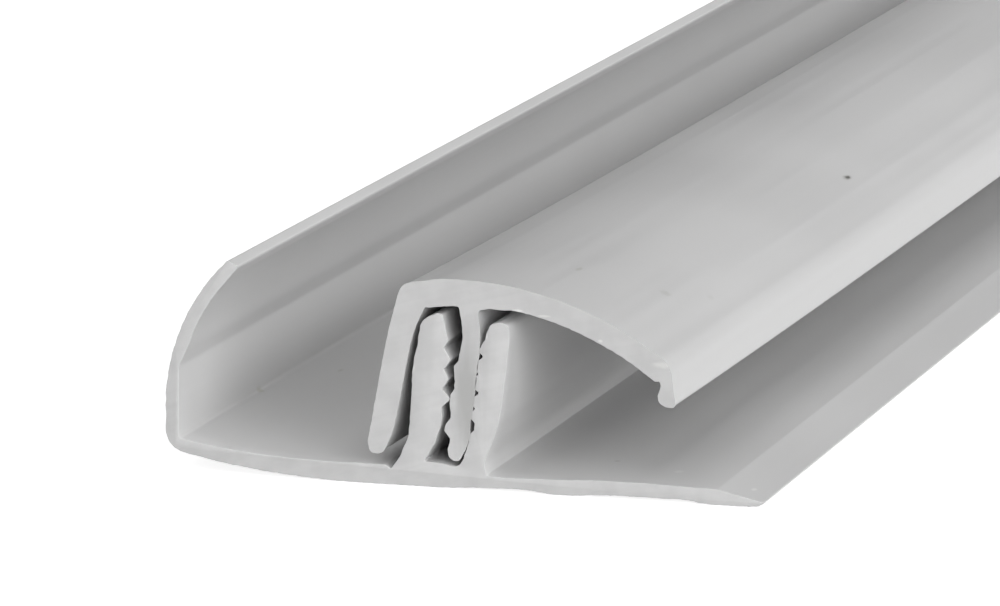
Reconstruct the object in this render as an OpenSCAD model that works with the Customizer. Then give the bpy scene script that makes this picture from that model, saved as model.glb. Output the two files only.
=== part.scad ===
// Two-piece PVC trim for 5 mm wall panelling, drawn as a full length of stock.
// A base profile is fixed to the wall, and a cover strip snaps into its slot.
// Both sections lie in the X-Z plane, and they are extruded along Y.
// Origin: middle of the length and of the width, at the back face of the base.

/* [Stock] */
// Length that the trim is sold in
stock_length = 2400; // [300:50:3000]

/* [Base floor] */
// Width from the outer face of the upstand to the free edge of the flange
base_w = 40.5; // [38:0.5:46]
// Distance from the outer face of the upstand to the middle of the slot
slot_offset = 20.3; // [19:0.1:21.5]
// Thickness of the floor under the slot
floor_t = 1.4; // [1.1:0.05:1.8]
// Width of the flat land that bears on the wall
land_w = 8.5; // [6:0.5:9]
// Radius of the gentle rise from the land to the corner
belly_r = 60; // [45:5:90]
// Outer radius of the corner below the upstand
corner_r = 2.2; // [1.5:0.1:2.6]

/* [Flange] */
// Thickness of the flange that goes behind the panel
flange_t = 0.8; // [0.6:0.05:1]
// Height that the middle of the flange stands off the wall
flange_relief = 0.35; // [0.1:0.05:0.4]
// Distance from the middle of the slot to the pad that the flange bears on
pad_offset = 6.6; // [6:0.1:7.5]
// Width of that pad
pad_w = 1; // [0.6:0.1:1.6]
// Depth of the shallow hollow between the land and the pad
back_hollow = 0.2; // [0.1:0.05:0.3]
// Distance over which the flange rises from the pad to its full height
flange_rise_w = 3; // [2:0.5:4]
// Width of the edge strip that bears on the wall
edge_strip_w = 3.4; // [2.4:0.1:4]
// Width of the slope down to the edge strip
edge_slope_w = 2.2; // [1.4:0.1:3]
// Width over which the upper side of the flange falls to its free edge
edge_fall_w = 6.6; // [5:0.1:8]
// Thickness of the edge strip at its free edge
edge_t = 0.55; // [0.4:0.05:0.8]

/* [Upstand] */
// Height of the upstand above the wall
upstand_h = 14.2; // [12:0.1:16]
// Thickness of the upstand
upstand_t = 0.9; // [0.7:0.05:1.2]
// Outer radius that the upstand curls inwards on
upstand_r = 13.5; // [12:0.5:16]
// Height at which the curl starts
curl_z = 4.3; // [3.6:0.1:6]
// Height of the flex line, up to which the inner face stays upright
flex_z = 7.2; // [6.4:0.1:7.6]
// Height of the step from the flex line to the full thickness of the curl
flex_step_h = 0.7; // [0.4:0.1:1.2]

/* [Slot walls] */
// Thickness of the left wall behind its teeth
left_wall_t = 1.9; // [1.5:0.05:2.3]
// Thickness of the right wall behind its teeth
right_wall_t = 1.6; // [1.3:0.05:2]
// Lean of the walls and of the tongue from upright
slot_lean = 5.5; // [3:0.5:7]
// Lean of the toothed face of the left wall
left_face_lean = 1; // [0:0.5:3]
// Lean of the cranked feet of the walls
foot_lean = 21; // [12:1:26]
// Height of the cranked feet above the floor
foot_h = 3; // [2.4:0.1:3.2]
// Spacing of the teeth on both walls
tooth_pitch = 1.2; // [1:0.05:1.3]
// Number of teeth on the left wall
left_teeth = 4; // [3:1:4]
// Number of teeth on the right wall
right_teeth = 5; // [3:1:5]
// Depth of the teeth on the left wall
left_tooth_d = 0.45; // [0.3:0.05:0.6]
// Depth of the teeth on the right wall
right_tooth_d = 0.32; // [0.2:0.02:0.4]
// Depth of the flex notch at the foot of the left wall
notch_d = 0.4; // [0.2:0.05:0.6]

/* [Cover] */
// Thickness of the cover over the slot
cover_t = 1.65; // [1.4:0.05:2]
// Outer radius of the heel of the cover
heel_r = 1.8; // [1:0.1:2]
// Thickness of the skirt
skirt_t = 1.5; // [1.2:0.05:1.7]
// Lean of the skirt from upright
skirt_lean = 10.5; // [9:0.5:13]
// Width that the tip of the skirt tapers by
skirt_taper = 0.5; // [0.1:0.1:0.7]
// Gap between the skirt and the left wall, at the top of the wall
skirt_gap = 0.4; // [0.2:0.05:0.6]
// Gap between the skirt and the floor
skirt_lift = 0.65; // [0.3:0.05:1.2]
// Width of the wing, from the middle of the slot to the lip
wing_w = 14; // [12:0.25:16]
// Outer radius of the wing
wing_r = 23.3; // [22:0.1:26]
// Distance from the middle of the slot back to the crest of the cover
crown_offset = 0.4; // [0:0.1:0.8]
// Thickness of the wing
wing_t = 1.5; // [1.2:0.05:1.7]
// Thickness of the lip
lip_t = 0.95; // [0.8:0.05:1.2]
// Radius of the edge between the wing and the lip
lip_edge_r = 1.4; // [0.8:0.1:1.6]
// Flare of the outer corner of the lip
lip_flare = 0.15; // [0.05:0.05:0.25]
// Gap between the lip and the flange, which the panel fills
panel_gap = 5.1; // [4.6:0.1:5.8]

/* [Tongue] */
// Length of the tongue below the cover
tongue_l = 10.2; // [9.6:0.1:11]
// Thickness of the tongue between its barbs
tongue_t = 1.3; // [1.1:0.05:1.6]
// Thickness of the neck of the tongue
neck_t = 1.05; // [0.8:0.05:1.3]
// Height of the upright neck
neck_h = 2.2; // [1.8:0.1:2.6]
// Depth of the barbs
barb_d = 0.35; // [0.2:0.05:0.45]
// Height of a barb
barb_h = 1.2; // [0.8:0.1:1.3]
// Spacing of the barbs
barb_pitch = 2.15; // [1.9:0.05:2.2]
// Depth of the first barb below the cover
first_barb = 4; // [3.6:0.1:4.2]
// Number of barbs
barbs = 3; // [2:1:3]
// Gap between the snapped surfaces
snap_gap = 0.06; // [0.04:0.01:0.15]
// Gap between the tongue and the floor of the slot
seat_gap = 0.5; // [0.3:0.05:0.8]
// Gap between the left wall and the cover
left_head_gap = 0.9; // [0.6:0.05:1.2]
// Gap between the right wall and the cover
right_head_gap = 1.1; // [0.8:0.05:1.3]

/* [Hidden] */

pvc_grey = [0.80, 0.80, 0.79];

// Largest turn of one facet of a rounded corner, and of a long curve, in degrees
corner_step = 18;
curve_step = 3;

// Faces of the base
left_x = -base_w / 2;
right_x = base_w / 2;
slot_x = left_x + slot_offset;
flange_z = flange_relief + flange_t;
land_right = slot_x + 1.5;
pad_x = slot_x + pad_offset;
land_left = land_right - land_w;

// Heights of the cover and of the grip, where the middle barb meets the teeth
tip_z = floor_t + seat_gap;
under_z = tip_z + tongue_l;
top_z = under_z + cover_t;
wall_z = under_z - left_head_gap;
right_wall_z = under_z - right_head_gap;
grip_z = under_z - first_barb - barb_pitch;

// Feet of the walls: a right face cranks at its full height, a left one half way down
crank_high_z = floor_t + foot_h;
crank_low_z = floor_t + foot_h / 2;
waist_z = floor_t + 0.4;

// Lead-in bevels above the teeth, and the highest tooth
lead_in = 1.6;
left_lead_w = 0.6;
right_lead_w = 1;
top_tooth_z = wall_z - lead_in;

// Flex notch beside the left wall
heel_lean = 32;
notch_w = 0.75;

// Small radii of the section
root_r = 0.3;
crest_r = 0.12;
nose_r = 0.25;
bow_r = 60;

// Tip of the skirt, and the room that the rounded heel needs along the top
skirt_z = floor_t + skirt_lift;
taper_h = 2.4;
heel_reach = 1.65;

// Outer curves of the upstand and of the wing
curl_x = left_x + upstand_r;
curl_end = asin((upstand_h - curl_z) / upstand_r);
crown_x = slot_x - crown_offset;
arc_z = top_z - wing_r;
lip_x = slot_x + wing_w;
lip_z = flange_z + panel_gap;

function unit(v) = v / norm(v);
function turned(v, a) = [v.x * cos(a) - v.y * sin(a), v.x * sin(a) + v.y * cos(a)];
function xz(corner) = [corner.x, corner.y];

// Points of an arc about a centre, between two angles
function arc(centre, r, from, to) =
    let (steps = max(1, ceil(abs(to - from) / curve_step)))
    [for (i = [0:steps]) let (a = from + (to - from) * i / steps) centre + r * [cos(a), sin(a)]];

// Points that round the corner b between a and c; its radius is limited by the sides
function rounded(a, b, c, r) =
    let (u = unit(a - b),
         v = unit(c - b),
         half = acos(u * v) / 2,
         reach = min(r / tan(half), 0.45 * norm(a - b), 0.45 * norm(c - b)),
         centre = b + unit(u + v) * reach / cos(half),
         start = b + u * reach - centre,
         turn = (180 - 2 * half) * sign(cross(start, b + v * reach - centre)),
         steps = max(1, ceil(abs(turn) / corner_step)))
    [for (i = [0:steps]) centre + turned(start, turn * i / steps)];

// A closed outline from corners [x, z] or [x, z, radius]
function outline(corners) =
    let (n = len(corners))
    [for (i = [0:n - 1])
        let (b = corners[i])
        each (len(b) > 2
            ? rounded(xz(corners[(i + n - 1) % n]), xz(b), xz(corners[(i + 1) % n]), b[2])
            : [b])];

// Faces of the slot and of the tongue at a height
function lean_x(z, angle) = tan(angle) * (z - grip_z);
function tongue_x(z) = slot_x + lean_x(z, slot_lean);
function tongue_right(z) = tongue_x(z) + tongue_t / 2;
function tongue_left(z) = tongue_x(z) - tongue_t / 2;
function right_tip(z) = tongue_right(z) + snap_gap;
function right_root(z) = right_tip(z) + right_tooth_d;
function right_plain(z) = right_tip(z) + right_tooth_d / 3;
function right_outer(z) = right_root(z) + right_wall_t;
function left_tip(z) = slot_x - tongue_t / 2 - barb_d - snap_gap + lean_x(z, left_face_lean);
function left_root(z) = left_tip(z) - left_tooth_d;
function left_outer(z) = left_root(grip_z) - left_wall_t + lean_x(z, slot_lean);
function foot_x(z) = tan(foot_lean) * z;

// Underside and upper side of the floor, which thins towards the upstand
function belly_z(x) = belly_r - sqrt(pow(belly_r, 2) - pow(land_left - x, 2));
function trough_z(x) =
    belly_z(x) + floor_t + (upstand_t - floor_t) * (land_left - x) / (land_left - left_x - upstand_t);

// Underside of the base, from the belly to the nose of the flange
function underside() = [
    [land_left, 0],
    [land_right, 0],
    [(land_right + pad_x) / 2, back_hollow, bow_r],
    [pad_x - pad_w / 2, 0],
    [pad_x + pad_w / 2, 0],
    [pad_x + flange_rise_w, flange_relief, bow_r],
    [right_x - edge_strip_w - edge_slope_w, flange_relief, edge_slope_w],
    [right_x - edge_strip_w, 0, edge_slope_w],
    [right_x, 0, nose_r],
    [right_x, edge_t, nose_r]
];

// Right wall: up its plain face, over its crest and down its teeth
function right_wall() = let (waist_x = right_outer(crank_high_z) - foot_x(crank_high_z - waist_z)) [
    [right_x - edge_fall_w, flange_z, bow_r],
    [pad_x + flange_rise_w, flange_z, bow_r],
    [waist_x + root_r / 2, flange_t, 2 * root_r],
    [waist_x, waist_z, root_r],
    [right_outer(crank_high_z), crank_high_z, 2],
    [right_outer(right_wall_z), right_wall_z, root_r],
    [right_tip(right_wall_z) + right_lead_w, right_wall_z, 2 * root_r],
    for (i = [0:right_teeth - 1]) let (z = top_tooth_z - i * tooth_pitch) each [
        [right_tip(z), z, crest_r],
        [right_root(z - tooth_pitch / 2), z - tooth_pitch / 2, crest_r]
    ],
    [right_plain(crank_low_z + root_r), crank_low_z + root_r],
    [right_plain(crank_low_z), crank_low_z],
    [right_plain(crank_low_z) - foot_x(crank_low_z - floor_t), floor_t, root_r]
];

// Left wall: up its teeth, over its crest and down its plain face to the flex notch
function left_wall() = let (notch_x = left_outer(crank_low_z) - tan(heel_lean) * (crank_low_z - floor_t + notch_d)) [
    [left_root(crank_high_z) - foot_x(foot_h), floor_t, root_r],
    [left_root(crank_high_z), crank_high_z],
    for (i = [left_teeth - 1:-1:0]) let (z = top_tooth_z - i * tooth_pitch) each [
        [left_root(z - tooth_pitch / 2), z - tooth_pitch / 2, crest_r],
        [left_tip(z), z, crest_r]
    ],
    [left_tip(wall_z) - left_lead_w, wall_z, root_r],
    [left_outer(wall_z), wall_z, 2 * root_r],
    [left_outer(crank_low_z), crank_low_z, 1],
    [notch_x, floor_t - notch_d, crest_r],
    [notch_x - notch_w, floor_t, crest_r]
];

// Trough, inner face of the upstand with its flex line, and back down the outer face
function trough_and_upstand() = let (
    inner_r = upstand_r - upstand_t,
    centre = [curl_x, curl_z],
    inner_x = left_x + upstand_t,
    trough_steps = 6,
    thick_at = asin((flex_z + flex_step_h - curl_z) / inner_r)) [
    for (i = [0:trough_steps]) let (x = land_left + (inner_x + corner_r / 2 - land_left) * i / trough_steps)
        [x, trough_z(x)],
    [inner_x, trough_z(inner_x), corner_r / 2],
    [inner_x, flex_z, root_r],
    concat(centre + inner_r * [cos(180 - thick_at), sin(180 - thick_at)], [root_r]),
    each arc(centre, inner_r, 180 - thick_at - curve_step, 180 - curl_end + 1),
    concat(centre + inner_r * [cos(180 - curl_end), sin(180 - curl_end)], [crest_r]),
    concat(centre + upstand_r * [cos(180 - curl_end), sin(180 - curl_end)], [crest_r]),
    each arc(centre, upstand_r, 180 - curl_end + 1, 180),
    [left_x, belly_z(left_x), corner_r],
    for (i = [0:trough_steps - 1])
        let (x = left_x + corner_r + (land_left - left_x - corner_r) * i / trough_steps)
        [x, belly_z(x)]
];

// Skirt of the cover, from its tip up to the heel, and the wing out to the lip
function skirt_outer(z) = skirt_inner(z) - skirt_t / cos(skirt_lean);
function skirt_inner(z) = left_outer(wall_z) - skirt_gap + tan(skirt_lean) * (z - wall_z);

function cover_outside() = let (
    centre = [crown_x, arc_z],
    heel_x = skirt_outer(top_z),
    heel_z = arc_z + sqrt(pow(wing_r, 2) - pow(crown_x - heel_x, 2)),
    heel_turn = asin((crown_x - heel_x - heel_reach * heel_r) / wing_r),
    lip_turn = asin((lip_x - lip_edge_r - crown_x) / wing_r),
    edge_z = arc_z + sqrt(pow(wing_r, 2) - pow(lip_x - crown_x, 2))) [
    [skirt_inner(skirt_z + taper_h), skirt_z + taper_h, 1],
    [skirt_inner(skirt_z) - skirt_taper, skirt_z, (skirt_t - skirt_taper) / 2],
    [skirt_outer(skirt_z), skirt_z, (skirt_t - skirt_taper) / 2],
    [skirt_outer(heel_z), heel_z, heel_r],
    each arc(centre, wing_r, 90 + heel_turn, 90 - lip_turn),
    [lip_x, edge_z, lip_edge_r],
    [lip_x, lip_z + lip_t, lip_t],
    [lip_x + lip_flare, lip_z + lip_flare, crest_r],
    [lip_x - lip_t, lip_z, lip_t / 1.7]
];

// Underside of the wing, the barbed tongue, and the inner face of the skirt
function cover_inside() = let (
    inner_r = wing_r - wing_t,
    centre = [crown_x, arc_z],
    lip_turn = asin((lip_x - lip_t - crown_x) / inner_r),
    neck_x = tongue_right(under_z - neck_h),
    root_turn = asin((neck_x + 2 * root_r - crown_x) / inner_r),
    root_z = arc_z + sqrt(pow(inner_r, 2) - pow(neck_x - crown_x, 2))) [
    each arc(centre, inner_r, 90 - lip_turn, 90 - root_turn),
    [neck_x, root_z, root_r],
    [neck_x, under_z - neck_h, 1],
    [tongue_right(tip_z + 1.7), tip_z + 1.7, 1],
    [tongue_x(tip_z) + tongue_t / 10, tip_z, root_r],
    [tongue_left(tip_z) + tongue_t / 10, tip_z, root_r],
    for (i = [barbs - 1:-1:0]) let (z = under_z - first_barb - i * barb_pitch) each [
        [tongue_left(z - barb_h / 2), z - barb_h / 2, root_r],
        [tongue_left(z) - barb_d, z, crest_r],
        [tongue_left(z + barb_h / 2), z + barb_h / 2, root_r]
    ],
    [neck_x - neck_t, under_z - neck_h, root_r],
    [neck_x - neck_t, under_z, root_r],
    [skirt_inner(under_z), under_z, crest_r]
];

// A section drawn in X and Z becomes a length of stock along Y
module stock() {
    rotate([90, 0, 0]) linear_extrude(stock_length, center = true) children();
}

// Base profile: upstand, trough, toothed slot and flange, extruded in one piece
module base_profile() {
    color(pvc_grey) stock()
        polygon(outline(concat(underside(), right_wall(), left_wall(), trough_and_upstand())));
}

// Cover strip: skirt, barbed tongue and curved wing, extruded in one piece
module cover_strip() {
    color(pvc_grey) stock() polygon(outline(concat(cover_outside(), cover_inside())));
}

base_profile();
cover_strip();
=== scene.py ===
"""Looks of a full length of two-part PVC wall panelling trim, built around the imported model.

Everything is in metres, in the model's own frame: +Y along the length, +X towards the flange
that goes behind the panel, +Z away from the wall, with the back of the base at height zero.
Sections are written in millimetres and scaled as they are swept.
"""

import math

import bpy
from mathutils import Euler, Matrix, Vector


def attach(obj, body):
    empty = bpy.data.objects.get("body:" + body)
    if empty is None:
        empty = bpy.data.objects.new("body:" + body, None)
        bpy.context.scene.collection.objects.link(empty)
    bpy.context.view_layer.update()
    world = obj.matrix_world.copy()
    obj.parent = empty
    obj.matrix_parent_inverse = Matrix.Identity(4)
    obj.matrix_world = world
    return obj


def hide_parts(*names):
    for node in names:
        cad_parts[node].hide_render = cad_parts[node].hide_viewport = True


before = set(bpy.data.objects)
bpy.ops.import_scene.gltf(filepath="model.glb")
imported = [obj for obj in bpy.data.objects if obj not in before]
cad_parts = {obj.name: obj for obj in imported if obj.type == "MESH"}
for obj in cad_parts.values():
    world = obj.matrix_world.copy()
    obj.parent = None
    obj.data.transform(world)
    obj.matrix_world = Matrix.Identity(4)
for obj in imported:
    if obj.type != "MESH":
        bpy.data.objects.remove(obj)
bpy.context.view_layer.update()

scene = bpy.context.scene


# Camera: a long lens close to the sawn front end, a little above it and to its right, so that
# the section fills the lower left of the picture and the length runs away to the upper right.

camera = bpy.data.objects.new("camera", bpy.data.cameras.new("camera"))
camera.data.lens = 270.0
camera.data.sensor_width = 36.0
camera.data.clip_start = 0.05
camera.data.clip_end = 30.0
camera.location = (0.134058, -1.657157, 0.099795)
camera.rotation_euler = Euler([math.radians(a) for a in (79.5927, -0.2432, 16.0968)])
scene.collection.objects.link(camera)
scene.camera = camera


# Base profile: the part that is fixed to the wall. It has a low floor, an upstand that curls in
# at the left, a slot between two toothed walls and a thin flange. It is extruded from light grey
# rigid PVC through one die and sawn square, so its section runs unchanged from end to end.

MM = 0.001
stock_length = 2.4
corner_step, curve_step = 9.0, 1.5
longest_side = 0.27


def arc(centre, radius, start, end):
    """Points on an arc about a centre, between two angles in degrees."""
    steps = max(1, math.ceil(abs(end - start) / curve_step))
    turns = [math.radians(start + (end - start) * i / steps) for i in range(steps + 1)]
    return [(centre[0] + radius * math.cos(a), centre[1] + radius * math.sin(a)) for a in turns]


def rounded(a, b, c, radius):
    """Points that round the corner b between a and c; its sides limit the radius."""
    u, v = (a - b).normalized(), (c - b).normalized()
    half = math.acos(max(-1.0, min(1.0, u.dot(v)))) / 2
    reach = min(radius / math.tan(half), 0.45 * (a - b).length, 0.45 * (c - b).length)
    centre = b + (u + v).normalized() * reach / math.cos(half)
    start, end = b + u * reach - centre, b + v * reach - centre
    turn = math.copysign(math.pi - 2 * half, start.x * end.y - start.y * end.x)
    steps = max(1, math.ceil(abs(math.degrees(turn)) / corner_step))
    points = []
    for i in range(steps + 1):
        s, k = math.sin(turn * i / steps), math.cos(turn * i / steps)
        points.append(centre + Vector((start.x * k - start.y * s, start.x * s + start.y * k)))
    return points


def outline(corners):
    """A closed outline, in millimetres, from corners (x, z) or (x, z, radius). Long sides are
    split, so that the saw can fray them."""
    spots = [Vector(c[:2]) for c in corners]
    bends = []
    for i, corner in enumerate(corners):
        if len(corner) > 2:
            bends += rounded(spots[i - 1], spots[i], spots[(i + 1) % len(spots)], corner[2])
        else:
            bends.append(spots[i])
    points = []
    for a, b in zip(bends, bends[1:] + bends[:1]):
        parts = max(1, math.ceil((b - a).length / longest_side))
        points += [a.lerp(b, i / parts) for i in range(parts)]
    return points


base_w, slot_offset, floor_t, land_left = 40.5, 20.3, 1.30, -6.95
upstand_h, upstand_t, upstand_r, curl_z, flex_z, flex_step_h = 14.2, 0.9, 13.5, 4.3, 6.95, 1.25
belly_r, corner_r, inner_corner_r = 60.0, 2.9, 1.0
crest_r, pit_r = 0.1, 0.13
left_x, right_x = -base_w / 2, base_w / 2
slot_x = left_x + slot_offset

# Teeth of the left wall as (x, z) of each tip and of the pit under it, and the notches of the
# right wall as corners, both from the top down
left_teeth = [
    (-0.96, 9.73, -1.27, 9.20), (-0.78, 8.45, -1.26, 7.80),
    (-0.95, 7.17, -1.35, 6.50), (-0.82, 5.88, -1.40, 5.28),
]
right_notches = [
    (1.15, 9.25, 0.1), (1.11, 9.08, 0.05), (1.42, 8.80, 0.12), (1.04, 8.50, 0.05), (0.98, 8.10, 0.1),
    (0.96, 7.80, 0.05), (1.09, 7.64, 0.08), (0.91, 7.46, 0.05), (0.86, 6.95, 0.1),
    (0.84, 6.64, 0.05), (1.15, 6.38, 0.12), (0.79, 6.10, 0.05), (0.75, 5.85, 0.1),
    (0.72, 5.52, 0.05), (0.87, 5.34, 0.08), (0.67, 5.14, 0.05), (0.645, 4.80, 0.1),
    (0.64, 4.64, 0.05), (0.84, 4.42, 0.1), (0.80, 3.92, 0.1), (0.54, 3.66, 0.05),
]


def belly_z(x):
    return belly_r - math.sqrt(belly_r ** 2 - (land_left - x) ** 2)


def trough_z(x):
    share = (land_left - x) / (land_left - left_x - upstand_t)
    return belly_z(x) + floor_t + (upstand_t - floor_t) * share


def base_corners():
    under = [
        (land_left, 0), (-1.5, 0), (1.2, 0.15, 10), (4.4, 0.20, 4), (6.0, 0), (7.2, 0),
        (9.6, 0.18, 3), (14.9, 0.22, 3), (16.4, 0, 2), (19.1, 0.02, 2), (19.9, 0.10, 1),
        (right_x, 0.30, 0.10),
    ]
    right_wall = [
        (19.95, 0.39, 0.3), (17.1, 1.04, 0.7), (14.1, 1.09, 20), (12.4, 1.13, 20), (9.2, 1.13, 20),
        (6.4, 1.00, 20), (2.6, 0.90, 4), (1.66, 0.98, 0.08), (1.50, 1.80, 1.5), (2.00, 3.05, 3),
        (2.50, 4.60, 3), (2.92, 7.66, 20), (3.18, 10.30, 2), (3.10, 10.96, 0.45),
        (2.47, 11.12, 0.5), (1.90, 10.98, 0.5), (1.64, 10.40, 0.8), (1.53, 9.98, 0.3),
    ]
    right_wall += right_notches + [(0.52, 3.55, 0.5), (0.40, 2.88, 0.5), (0.08, 2.02, 0.5), (-0.18, 1.52, 0.25)]
    left_wall = [(-0.50, 1.46, 0.2), (-1.5, 1.62, 1), (-2.62, 1.66, 0.15), (-2.36, 2.00, 0.4),
                 (-1.85, 2.90, 2), (-1.50, 3.90, 1), (-1.36, 4.60, 0.5)]
    for x, z, root_x, root_z in reversed(left_teeth):
        left_wall += [(root_x, root_z, pit_r), (x, z, crest_r)]
    left_wall += [
        (-1.14, 10.35, 1), (-1.26, 11.05, 0.8), (-1.36, 11.44, 0.2), (-1.75, 11.47, 0.4),
        (-2.25, 11.27, 0.8), (-2.66, 11.00, 0.5), (-2.86, 10.62, 0.6), (-3.05, 9.30, 3),
        (-3.28, 8.35, 2), (-3.39, 7.40, 3), (-3.43, 6.20), (-3.50, 4.95), (-3.57, 3.95, 2),
        (-3.67, 3.20, 1.5), (-4.19, 1.90, 1.5), (-4.82, 1.05, 0.12), (-5.25, 1.28, 0.3),
        (-5.75, floor_t, 0.5),
    ]
    centre, inner_r, inner_x = (left_x + upstand_r, curl_z), upstand_r - upstand_t, left_x + upstand_t
    curl = math.degrees(math.asin((upstand_h - curl_z) / upstand_r))
    thick = math.degrees(math.asin((flex_z + flex_step_h - curl_z) / inner_r))
    steps = 12
    trough = [land_left + (inner_x + inner_corner_r / 2 - land_left) * i / steps for i in range(steps + 1)]
    belly = [left_x + corner_r + (land_left - left_x - corner_r) * i / steps for i in range(steps)]
    upstand = [(x, trough_z(x)) for x in trough] + [(inner_x, trough_z(inner_x), inner_corner_r)]
    upstand += [(inner_x, flex_z, 0.8)]
    upstand += [p + (2.5,) for p in arc(centre, inner_r, 180 - thick, 180 - thick)[:1]]
    upstand += arc(centre, inner_r, 180 - thick - 5, 180 - curl + 3)
    upstand += [(-15.33, 13.66, 0.30), (-15.27, 13.86, 0.20), (-15.98, 14.19, 0.15)]
    upstand += arc(centre, upstand_r, 180 - curl + 2, 180)
    upstand += [(left_x, belly_z(left_x), corner_r)] + [(x, belly_z(x)) for x in belly]
    return under + right_wall + left_wall + upstand


def new_tree(name, kind, inputs, outputs):
    """An empty node tree with named sockets; inputs are (name, type, value)."""
    tree = bpy.data.node_groups.new(name, kind)
    for socket_name, socket_type, value in inputs:
        socket = tree.interface.new_socket(socket_name, in_out="INPUT", socket_type="NodeSocket" + socket_type)
        if value is not None:
            socket.default_value = value
    for socket_name, socket_type in outputs:
        tree.interface.new_socket(socket_name, in_out="OUTPUT", socket_type="NodeSocket" + socket_type)
    return tree


class Nodes:
    """Short names for the nodes that the trees below are made of."""

    def __init__(self, tree):
        self.tree = tree

    def add(self, kind, **values):
        """A node, with its input sockets filled or linked by name."""
        node = self.tree.nodes.new(kind)
        for name, value in values.items():
            self.fill(node.inputs[name.replace("_", " ")], value)
        return node

    def fill(self, socket, value):
        if isinstance(value, bpy.types.NodeSocket):
            self.tree.links.new(value, socket)
        else:
            socket.default_value = value

    def math(self, operation, *values, clamp=False):
        node = self.tree.nodes.new("ShaderNodeMath")
        node.operation, node.use_clamp = operation, clamp
        for socket, value in zip(node.inputs, values):
            self.fill(socket, value)
        return node.outputs[0]

    def vector(self, operation, *values):
        node = self.tree.nodes.new("ShaderNodeVectorMath")
        node.operation = operation
        sockets = [node.inputs[0], node.inputs["Scale"]] if operation == "SCALE" else node.inputs
        for socket, value in zip(sockets, values):
            self.fill(socket, value)
        return node.outputs["Value"] if operation in ("LENGTH", "DISTANCE", "DOT_PRODUCT") else node.outputs[0]

    def noise(self, vector, scale, detail=0.0, seed=None):
        node = self.add("ShaderNodeTexNoise", Vector=vector, Scale=scale, Detail=detail)
        if seed is not None:
            node.noise_dimensions = "4D"
            self.fill(node.inputs["W"], seed)
        return node

    def ramp(self, value, start, end, low=0.0, high=1.0):
        """A smooth step from low at start to high at end."""
        node = self.tree.nodes.new("ShaderNodeMapRange")
        node.interpolation_type = "SMOOTHSTEP"
        for socket, given in zip(node.inputs, (value, start, end, low, high)):
            self.fill(socket, given)
        return node.outputs[0]


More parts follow.
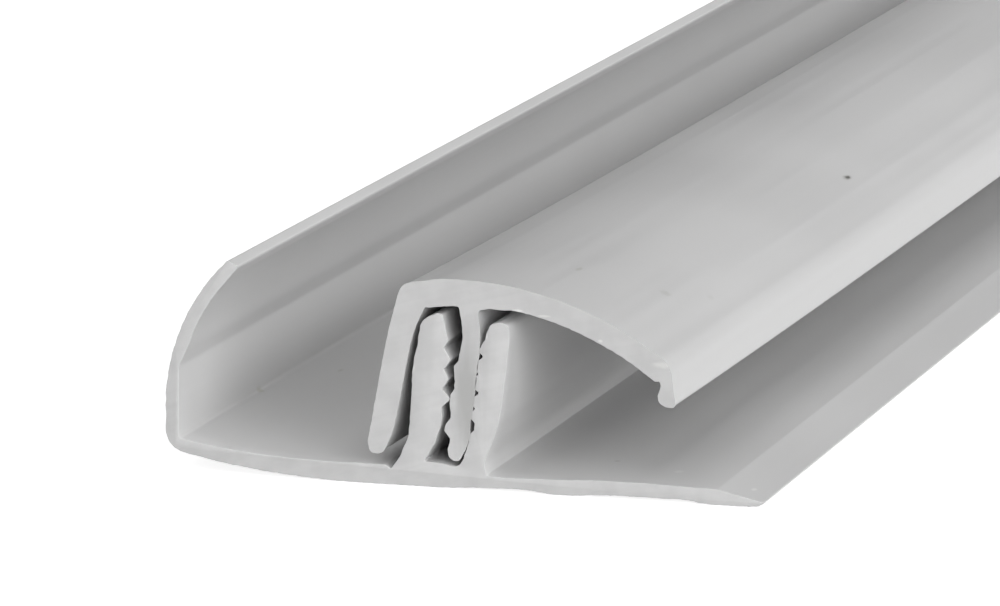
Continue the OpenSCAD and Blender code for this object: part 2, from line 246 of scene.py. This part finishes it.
def extruded_length():
    """Geometry Nodes: a flat section is swept along Y, with slices that crowd towards both ends,
    where the saw has rounded and frayed the edge a little. The section may settle by a little
    away from the ends, as a snapped-in cover does."""
    tree = new_tree("extruded_length", "GeometryNodeTree", [
        ("Section", "Geometry", None), ("Length", "Float", 2.4), ("Slices", "Int", 81),
        ("Crowding", "Float", 3.5), ("Edge Radius", "Float", 0.00003), ("Fray", "Float", 0.00004),
        ("Fray Reach", "Float", 0.0007), ("Fray Scale", "Float", 2300.0),
        ("Waviness", "Float", 0.00005), ("Wave Scale", "Float", 9.0),
        ("Settle", "Float", 0.0), ("Settle Reach", "Float", 0.05), ("Full Height", "Float", 0.0135),
        ("Seed", "Float", 1.0),
        ("Skin", "Material", None), ("Sawn Face", "Material", None),
    ], [("Stock", "Geometry")])
    n = Nodes(tree)
    given = tree.nodes.new("NodeGroupInput").outputs

    # The path, with its points crowded towards both ends
    half_length = n.math("MULTIPLY", given["Length"], 0.5)
    start = n.add("ShaderNodeCombineXYZ", Y=n.math("MULTIPLY", half_length, -1.0)).outputs[0]
    end = n.add("ShaderNodeCombineXYZ", Y=half_length).outputs[0]
    path = n.add("GeometryNodeCurvePrimitiveLine", Start=start, End=end).outputs[0]
    slices = n.add("GeometryNodeResampleCurve", Curve=path, Count=given["Slices"]).outputs[0]
    factor = tree.nodes.new("GeometryNodeSplineParameter").outputs["Factor"]
    run = n.math("SUBTRACT", n.math("MULTIPLY", factor, 2.0), 1.0)
    packed = n.math("POWER", n.math("SUBTRACT", 1.0, n.math("ABSOLUTE", run)), given["Crowding"])
    share = n.math("MULTIPLY", n.math("SIGN", run), n.math("SUBTRACT", 1.0, packed))
    spot = n.add("ShaderNodeCombineXYZ", Y=n.math("MULTIPLY", share, half_length)).outputs[0]
    crowd = n.add("GeometryNodeSetPosition", Geometry=slices, Position=spot).outputs[0]

    # The sweep
    section = tree.nodes.new("GeometryNodeMeshToCurve")
    n.fill(section.inputs[0], given["Section"])
    sweep = n.add("GeometryNodeCurveToMesh", Curve=crowd, Profile_Curve=section.outputs[0], Fill_Caps=True)

    # Outward direction across the section, and distance from the nearer end
    place = tree.nodes.new("GeometryNodeInputPosition").outputs[0]
    facing = tree.nodes.new("GeometryNodeInputNormal").outputs[0]
    across = n.vector("NORMALIZE", n.vector("MULTIPLY", facing, (1.0, 0.0, 1.0)))
    along = n.add("ShaderNodeSeparateXYZ", Vector=place).outputs["Y"]
    inwards = n.math("SUBTRACT", half_length, n.math("ABSOLUTE", along))

    # Rounding of the sawn edge: square root of radius^2 - (radius - distance)^2, less the radius
    radius = given["Edge Radius"]
    short = n.math("MAXIMUM", n.math("SUBTRACT", radius, inwards), 0.0)
    chord = n.math("SUBTRACT", n.math("POWER", radius, 2.0), n.math("POWER", short, 2.0))
    inset = n.math("SUBTRACT", n.math("SQRT", chord), radius)

    # Fray of the sawn edge, mostly chips into it, fading with distance
    grain = n.noise(place, given["Fray Scale"], 2.0, given["Seed"]).outputs[0]
    fade = n.math("SUBTRACT", 1.0, n.math("DIVIDE", inwards, given["Fray Reach"]), clamp=True)
    chips = n.math("MULTIPLY", n.math("SUBTRACT", 0.51, grain), 4.0)
    fray = n.math("MULTIPLY", n.math("MULTIPLY", chips, given["Fray"]), fade)
    shift = n.vector("SCALE", across, n.math("SUBTRACT", inset, fray))

    # Slow waves along the length, and the settling of a snapped-in strip
    wave = n.noise(place, given["Wave Scale"], 0.0, given["Seed"]).outputs["Color"]
    sway = n.vector("MULTIPLY", n.vector("SUBTRACT", wave, (0.5, 0.5, 0.5)), (2.0, 0.0, 2.0))
    sway = n.vector("SCALE", sway, given["Waviness"])
    fading = n.math("EXPONENT", n.math("DIVIDE", n.math("MULTIPLY", inwards, -1.0), given["Settle Reach"]))
    height = n.add("ShaderNodeSeparateXYZ", Vector=place).outputs["Z"]
    part = n.math("ADD", n.math("MULTIPLY", n.math("DIVIDE", height, given["Full Height"]), 0.6), 0.4)
    settled = n.math("MULTIPLY", n.math("MULTIPLY", n.math("SUBTRACT", 1.0, fading), part), given["Settle"])
    drop = n.add("ShaderNodeCombineXYZ", Z=n.math("MULTIPLY", settled, -1.0)).outputs[0]
    offset = n.vector("ADD", n.vector("ADD", shift, sway), drop)
    worn = n.add("GeometryNodeSetPosition", Geometry=sweep.outputs[0], Offset=offset).outputs[0]

    # Smooth skin and flat sawn faces, each with its own finish
    cap = n.math("GREATER_THAN", n.math("ABSOLUTE", n.vector("DOT_PRODUCT", facing, (0.0, 1.0, 0.0))), 0.9)
    real = n.add("GeometryNodeRealizeInstances", Geometry=worn).outputs[0]
    skin = n.add("GeometryNodeSetMaterial", Geometry=real, Material=given["Skin"]).outputs[0]
    sawn = n.add("GeometryNodeSetMaterial", Geometry=skin, Selection=cap, Material=given["Sawn Face"])
    n.fill(tree.nodes.new("NodeGroupOutput").inputs[0], sawn.outputs[0])
    return tree


sweep_tree = extruded_length()


def stock_piece(name, corners, **sizes):
    """One extrusion: its section goes in as a loop of edges, and the swept mesh comes out."""
    loop = outline(corners)[::-1]
    count = len(loop)
    flat = bpy.data.meshes.new(name + "_section")
    flat.from_pydata([(p.x * MM, -p.y * MM, 0) for p in loop], [(i, (i + 1) % count) for i in range(count)], [])
    holder = bpy.data.objects.new(name + "_section", flat)
    scene.collection.objects.link(holder)
    sweep = holder.modifiers.new("sweep", "NODES")
    sweep.node_group = sweep_tree
    for item in sweep_tree.interface.items_tree:
        key = item.name.replace(" ", "_")
        if item.in_out == "INPUT" and key in sizes:
            sweep[item.identifier] = sizes[key]
    shape = holder.evaluated_get(bpy.context.evaluated_depsgraph_get())
    mesh = bpy.data.meshes.new_from_object(shape)
    bpy.data.objects.remove(holder)
    mesh.polygons.foreach_set("use_smooth", [len(p.vertices) <= 4 for p in mesh.polygons])
    mesh.set_sharp_from_angle(angle=math.radians(40))
    piece = bpy.data.objects.new(name, mesh)
    scene.collection.objects.link(piece)
    return piece


def pvc_skin():
    """Shader group: the skin of an extrusion. Die lines run along Y; a soft mottle, a fine grain
    and sparse dark specks lie over them."""
    tree = new_tree("pvc_skin", "ShaderNodeTree", [
        ("Vector", "Vector", None), ("Line Scale", "Float", 1500.0), ("Mottle Scale", "Float", 55.0),
        ("Grain Scale", "Float", 4200.0), ("Speck Scale", "Float", 75.0), ("Speck Size", "Float", 0.02),
    ], [("Tone", "Float"), ("Gloss", "Float"), ("Height", "Float"), ("Specks", "Float")])
    n = Nodes(tree)
    given = tree.nodes.new("NodeGroupInput").outputs
    drawn = n.vector("MULTIPLY", given["Vector"], (1.0, 0.004, 1.0))
    lines = n.noise(drawn, given["Line Scale"], 2.0).outputs[0]
    broad = n.noise(n.vector("MULTIPLY", given["Vector"], (1.0, 0.06, 1.0)), 260.0, 1.0).outputs[0]
    mottle = n.noise(given["Vector"], given["Mottle Scale"], 3.0).outputs[0]
    grain = n.noise(given["Vector"], given["Grain Scale"], 1.0).outputs[0]
    tone = n.math("ADD", n.math("MULTIPLY", lines, 0.45), n.math("MULTIPLY", mottle, 0.25))
    tone = n.math("ADD", tone, n.math("MULTIPLY", broad, 0.30))
    gloss = n.math("ADD", n.math("MULTIPLY", mottle, 0.5), n.math("MULTIPLY", lines, 0.5))
    height = n.math("ADD", n.math("MULTIPLY", lines, 0.7), n.math("MULTIPLY", grain, 0.3))
    cells = n.add("ShaderNodeTexVoronoi", Vector=given["Vector"], Scale=given["Speck Scale"])
    picked = n.math("GREATER_THAN", n.add("ShaderNodeSeparateColor", Color=cells.outputs["Color"]).outputs[0], 0.86)
    near = n.ramp(cells.outputs["Distance"], given["Speck Size"], 0.0)
    result = tree.nodes.new("NodeGroupOutput").inputs
    for name, value in (("Tone", tone), ("Gloss", gloss), ("Height", height), ("Specks", n.math("MULTIPLY", near, picked))):
        n.fill(result[name], value)
    return tree


def dirt_spot():
    """Shader group: one soft-edged mark at a place on the part, with a ragged outline. The marks are specks of dirt,
    pale burrs with a painted highlight, and painted shade.
    """
    tree = new_tree("dirt_spot", "ShaderNodeTree", [
        ("Vector", "Vector", None), ("Place", "Vector", (0, 0, 0)), ("Reach", "Vector", (0.0003, 0.0003, 0.0003)),
        ("Ragged", "Float", 0.35),
    ], [("Mask", "Float")])
    n = Nodes(tree)
    given = tree.nodes.new("NodeGroupInput").outputs
    away = n.vector("DIVIDE", n.vector("SUBTRACT", given["Vector"], given["Place"]), given["Reach"])
    wobble = n.math("MULTIPLY", n.math("SUBTRACT", n.noise(away, 1.7, 2.0).outputs[0], 0.5), given["Ragged"])
    distance = n.math("ADD", n.vector("LENGTH", away), n.math("MULTIPLY", wobble, 2.0))
    n.fill(tree.nodes.new("NodeGroupOutput").inputs[0], n.ramp(distance, 1.0, 0.25))
    return tree


def saw_marks():
    """Shader group: a sawn end. Fine arcs follow the blade's rim, over smeared softer patches."""
    tree = new_tree("saw_marks", "ShaderNodeTree", [
        ("Vector", "Vector", None), ("Blade Centre", "Vector", (0.05, 0.0, -0.11)),
        ("Mark Scale", "Float", 2600.0), ("Patch Scale", "Float", 620.0),
    ], [("Marks", "Float"), ("Patches", "Float")])
    n = Nodes(tree)
    given = tree.nodes.new("NodeGroupInput").outputs
    away = n.vector("MULTIPLY", n.vector("SUBTRACT", given["Vector"], given["Blade Centre"]), (1.0, 0.0, 1.0))
    rim = n.add("ShaderNodeCombineXYZ", X=n.vector("LENGTH", away)).outputs[0]
    smear = n.vector("SCALE", n.vector("MULTIPLY", given["Vector"], (1.0, 0.0, 1.0)), 0.12)
    marks = n.noise(n.vector("ADD", rim, smear), given["Mark Scale"], 2.0).outputs[0]
    patches = n.noise(given["Vector"], given["Patch Scale"], 3.0).outputs[0]
    result = tree.nodes.new("NodeGroupOutput").inputs
    n.fill(result["Marks"], marks)
    n.fill(result["Patches"], patches)
    return tree


skin_tree, spot_tree, saw_tree = pvc_skin(), dirt_spot(), saw_marks()


def mixed(n, share, first, second):
    """A colour between two others, each a colour or a socket."""
    blend = n.tree.nodes.new("ShaderNodeMix")
    blend.data_type = "RGBA"
    n.fill(blend.inputs[0], share)
    for socket, colour in zip([s for s in blend.inputs if s.type == "RGBA"], (first, second)):
        n.fill(socket, colour if isinstance(colour, bpy.types.NodeSocket) else (*colour, 1))
    return [s for s in blend.outputs if s.type == "RGBA"][0]


def marked(n, colour, vector, spots):
    """The colour with marks over it, each given as its place and reach in millimetres and shade."""
    for place, reach, shade in spots:
        mark = n.add("ShaderNodeGroup")
        mark.node_tree = spot_tree
        n.fill(mark.inputs["Vector"], vector)
        n.fill(mark.inputs["Place"], [v * MM for v in place])
        n.fill(mark.inputs["Reach"], [v * MM for v in reach])
        colour = mixed(n, mark.outputs["Mask"], colour, shade)
    return colour


def pvc(name, low, high, roughness, bump, spots=()):
    """Material of the extruded skin: a tone between two greys, sparse dust and the marks given."""
    material = bpy.data.materials.new(name)
    material.use_nodes = True
    n = Nodes(material.node_tree)
    shader = material.node_tree.nodes["Principled BSDF"]
    vector = material.node_tree.nodes.new("ShaderNodeTexCoord").outputs["Object"]
    skin = n.add("ShaderNodeGroup")
    skin.node_tree = skin_tree
    n.fill(skin.inputs["Vector"], vector)
    colour = mixed(n, n.ramp(skin.outputs["Tone"], 0.3, 0.7), low, high)
    colour = mixed(n, skin.outputs["Specks"], colour, (0.30, 0.29, 0.27))
    n.fill(shader.inputs["Base Color"], marked(n, colour, vector, spots))
    n.fill(shader.inputs["Roughness"], n.ramp(skin.outputs["Gloss"], 0.3, 0.7, roughness - 0.06, roughness + 0.06))
    relief = n.add("ShaderNodeBump", Strength=1.0, Distance=bump, Height=skin.outputs["Height"])
    n.fill(shader.inputs["Normal"], relief.outputs[0])
    return material


def sawn_pvc(name, low, high, roughness, bump, spots=()):
    """Material of the sawn ends: matt, with blade marks, paler smeared patches and the marks given; its pale marks at
    the edges are burrs with their highlight painted into the colour.
    """
    material = bpy.data.materials.new(name)
    material.use_nodes = True
    n = Nodes(material.node_tree)
    shader = material.node_tree.nodes["Principled BSDF"]
    vector = material.node_tree.nodes.new("ShaderNodeTexCoord").outputs["Object"]
    cut = n.add("ShaderNodeGroup")
    cut.node_tree = saw_tree
    n.fill(cut.inputs["Vector"], vector)
    marks, patches = cut.outputs["Marks"], cut.outputs["Patches"]
    blend = n.math("ADD", n.math("MULTIPLY", marks, 0.3), n.math("MULTIPLY", patches, 0.7))
    colour = mixed(n, n.ramp(blend, 0.35, 0.65), low, high)
    n.fill(shader.inputs["Base Color"], marked(n, colour, vector, spots))
    n.fill(shader.inputs["Roughness"], n.ramp(patches, 0.3, 0.7, roughness - 0.08, roughness + 0.08))
    rough = n.math("ADD", n.math("MULTIPLY", marks, 0.6), n.math("MULTIPLY", patches, 0.4))
    relief = n.add("ShaderNodeBump", Strength=1.0, Distance=bump, Height=rough)
    n.fill(shader.inputs["Normal"], relief.outputs[0])
    return material


base_skin = pvc("base_skin", (0.585, 0.584, 0.584), (0.615, 0.614, 0.614), 0.42, 0.000006, [
    ((13.4, -1195.6, 1.1), (0.42, 0.60, 0.4), (0.67, 0.67, 0.665)),
    ((18.9, -1197.4, 0.6), (0.22, 0.55, 0.5), (0.72, 0.72, 0.715)),
    ((8.7, -1193.5, 1.1), (0.3, 0.25, 0.4), (0.46, 0.45, 0.44)),
    ((-16.8, -1172.5, 1.7), (0.2, 0.9, 0.5), (0.52, 0.52, 0.50)),
    ((-19.3, -1183.0, 2.1), (0.5, 0.8, 0.5), (0.50, 0.50, 0.46)),
])
# The pale marks on the base's sawn end are burrs and nicks at its edges, each with a painted highlight.
base_sawn = sawn_pvc("base_sawn", (0.57, 0.569, 0.569), (0.62, 0.619, 0.618), 0.6, 0.00001, [
    ((-3.30, -1200.0, 7.9), (0.12, 0.3, 0.45), (0.76, 0.76, 0.75)),
    ((1.62, -1200.0, 10.2), (0.12, 0.3, 0.30), (0.76, 0.76, 0.75)),
    ((18.9, -1200.0, 0.68), (0.35, 0.5, 0.10), (0.82, 0.82, 0.81)),
])
base = stock_piece("base", base_corners(), Length=stock_length, Seed=1.0, Skin=base_skin, Sawn_Face=base_sawn)
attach(base, "root")
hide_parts("base_profile")


# Cover strip: the part that snaps into the base's slot. A barbed tongue hangs from it, a skirt
# leans over the left wall, and a curved wing ends in a down-turned lip. It is a second extrusion
# of the same PVC, and it carries the few specks of dirt that show on the visible face.

wing_w, wing_r, wing_t, crown_offset = 14.0, 23.3, 1.39, 0.4
tongue_tip_z, tongue_l, cover_t = 1.9, 10.2, 1.65
under_z = tongue_tip_z + tongue_l
top_z = under_z + cover_t
lip_x = slot_x + wing_w
crown_x = slot_x - crown_offset


def cover_corners():
    centre, inner_r = (crown_x, top_z - wing_r), wing_r - wing_t
    heel_turn = math.degrees(math.asin((crown_x + 1.5) / wing_r))
    outer_turn = math.degrees(math.asin((lip_x - 2.6 - crown_x) / wing_r))
    inner_turn = math.degrees(math.asin((lip_x - 1.15 - crown_x) / inner_r))
    root_turn = math.degrees(math.asin((4.0 - crown_x) / inner_r))
    outside = [
        (-5.21, 2.50, 0.6), (-5.40, 2.20, 0.5), (-5.66, 2.06, 0.4), (-6.20, 2.08, 0.4), (-6.37, 2.80, 0.6),
        (-6.10, 4.10, 10), (-5.39, 8.12), (-4.97, 10.19), (-4.52, 11.88, 3), (-4.14, 13.32, 1.8),
    ]
    outside += arc(centre, wing_r, 90 + heel_turn, 90 - outer_turn)
    outside += [
        (13.88, 9.03, 1.7), (14.08, 7.20, 1.5), (14.28, 6.21, 0.28),
        (13.60, 6.27, 0.3), (13.18, 6.50, 0.35), (13.12, 6.88, 0.4), (13.33, 7.62, 0.3), (13.22, 7.94, 0.2),
    ]
    inside = arc(centre, inner_r, 90 - inner_turn, 90 - root_turn)
    inside += [
        (3.30, 12.00, 1), (1.80, 12.04, 0.6), (1.00, 11.86, 0.3), (1.03, 11.10, 1), (1.13, 10.30, 3), (1.13, 9.40, 3),
        (0.965, 8.10, 3), (0.845, 6.95, 3), (0.735, 5.85, 3), (0.62, 4.85, 0.4), (0.50, 4.50, 0.3),
        (0.47, 3.95, 0.3), (0.51, 3.58, 0.2), (0.36, 3.05, 0.4), (0.06, 2.38, 0.5),
        (-0.22, 1.90, 0.2), (-0.56, tongue_tip_z, 0.2), (-0.86, 2.12, 0.3), (-0.93, 2.55, 0.2), (-0.80, 3.00, 0.3),
        (-0.76, 3.30, 0.1), (-1.14, 3.80, 0.1), (-1.08, 4.24, 0.1), (-0.76, 4.62, 0.15), (-0.70, 5.00, 0.3),
        (-0.81, 5.75, 0.2), (-0.73, 6.20, 0.15), (-0.48, 6.58, 0.2), (-0.47, 7.30, 0.3), (-0.53, 8.07, 0.1),
        (-0.23, 8.42, 0.2), (-0.07, 9.30, 1.0), (0.05, 9.95, 1.0), (0.04, 10.60, 1.0), (-0.08, 11.40, 1.0),
        (-0.22, 12.11, 0.25), (-1.00, 12.06, 1), (-1.70, 11.98, 1), (-2.58, 11.90, 0.15), (-2.82, 11.45, 0.8),
        (-3.15, 10.70, 2), (-3.47, 9.81, 4), (-3.67, 8.92, 4), (-3.97, 7.36), (-4.18, 6.25), (-4.37, 5.21, 4),
        (-4.64, 3.95, 3), (-4.92, 3.10, 2),
    ]
    return outside + inside


cover_skin = pvc("cover_skin", (0.59, 0.589, 0.589), (0.61, 0.609, 0.609), 0.40, 0.000005, [
    ((10.0, -1135.2, 10.7), (0.33, 1.10, 1.2), (0.38, 0.38, 0.37)),
    ((10.02, -1135.1, 10.7), (0.20, 0.65, 1.2), (0.14, 0.14, 0.13)),
    ((4.9, -1189.5, 13.0), (0.24, 0.9, 1.2), (0.50, 0.50, 0.48)),
    ((10.0, -1186.5, 11.1), (0.48, 0.8, 1.2), (0.53, 0.53, 0.52)),
    ((11.8, -1181.5, 10.1), (0.30, 0.7, 1.2), (0.57, 0.57, 0.565)),
])
# The pale marks along the sawn edges of the wing and lip are burrs with a painted highlight.
cover_sawn = sawn_pvc("cover_sawn", (0.57, 0.569, 0.569), (0.62, 0.619, 0.618), 0.6, 0.00001, [
    ((3.75, -1200.0, 11.98), (0.50, 0.3, 0.14), (0.80, 0.80, 0.79)),
    ((5.50, -1200.0, 11.72), (0.60, 0.3, 0.12), (0.72, 0.72, 0.71)),
    ((9.25, -1200.0, 10.30), (0.22, 0.3, 0.14), (0.76, 0.76, 0.75)),
    ((13.4, -1200.0, 8.95), (0.9, 0.3, 0.30), (0.70, 0.70, 0.69)),
    # Painted shade: a broad darker patch over the whole sawn face of the tongue, where it sits between the slot's
    # walls.
    ((0.30, -1200.0, 6.00), (1.15, 0.5, 5.4), (0.455, 0.455, 0.45)),
])
cover = stock_piece("cover", cover_corners(), Length=stock_length, Seed=5.0, Settle=0.0009, Edge_Radius=0.00005, Skin=cover_skin,
                    Sawn_Face=cover_sawn)
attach(cover, "root")
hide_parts("cover_strip")


# Floor and lights: a white table, seen pure white by the camera, with soft light from the right and the front.

floor_mesh = bpy.data.meshes.new("floor")
floor_mesh.from_pydata([(-8, -8, 0), (8, -8, 0), (8, 8, 0), (-8, 8, 0)], [], [(0, 1, 2, 3)])
floor = bpy.data.objects.new("floor", floor_mesh)
floor.location.z = -0.00002
scene.collection.objects.link(floor)
paper = bpy.data.materials.new("white_paper")
paper.use_nodes = True
paper.node_tree.nodes.clear()
n = Nodes(paper.node_tree)
rays = paper.node_tree.nodes.new("ShaderNodeLightPath").outputs
seen = n.math("MAXIMUM", rays["Is Camera Ray"], rays["Is Transmission Ray"])
seen = n.math("MAXIMUM", n.math("MULTIPLY", seen, 0.88), n.math("MULTIPLY", rays["Is Glossy Ray"], 0.4))
glow = n.add("ShaderNodeEmission", Strength=seen).outputs[0]
diffuse = n.add("ShaderNodeBsdfDiffuse", Color=(0.5, 0.5, 0.5, 1)).outputs[0]
both = paper.node_tree.nodes.new("ShaderNodeAddShader")
n.fill(both.inputs[0], diffuse)
n.fill(both.inputs[1], glow)
n.fill(paper.node_tree.nodes.new("ShaderNodeOutputMaterial").inputs["Surface"], both.outputs[0])
floor_mesh.materials.append(paper)

world = bpy.data.worlds.new("room")
scene.world = world
world.use_nodes = True
world.node_tree.nodes["Background"].inputs["Color"].default_value = (1, 1, 1, 1)


def soft_sun(name, direction, strength, spread):
    lamp = bpy.data.lights.new(name, "SUN")
    lamp.energy = strength
    lamp.angle = math.radians(spread)
    item = bpy.data.objects.new(name, lamp)
    item.rotation_euler = Vector(direction).to_track_quat("Z", "Y").to_euler()
    scene.collection.objects.link(item)


# LIGHTS
world.node_tree.nodes["Background"].inputs["Strength"].default_value = 0.0
soft_sun("window", (1.0, -1.0, 0.3), 3.1, 50)
soft_sun("ceiling", (0.0, -0.1, 1.0), 0.87, 60)
soft_sun("right_lamp", (1.0, -0.15, 0.58), 0.73, 14)
soft_sun("front_high", (0.0, -1.0, 1.0), 0.46, 50)
soft_sun("left_high", (-1.0, -0.3, 0.8), 0.36, 50)
soft_sun("back_right", (0.8, 1.0, 0.5), 0.33, 50)
# END LIGHTS

scene.view_settings.view_transform = "Standard"
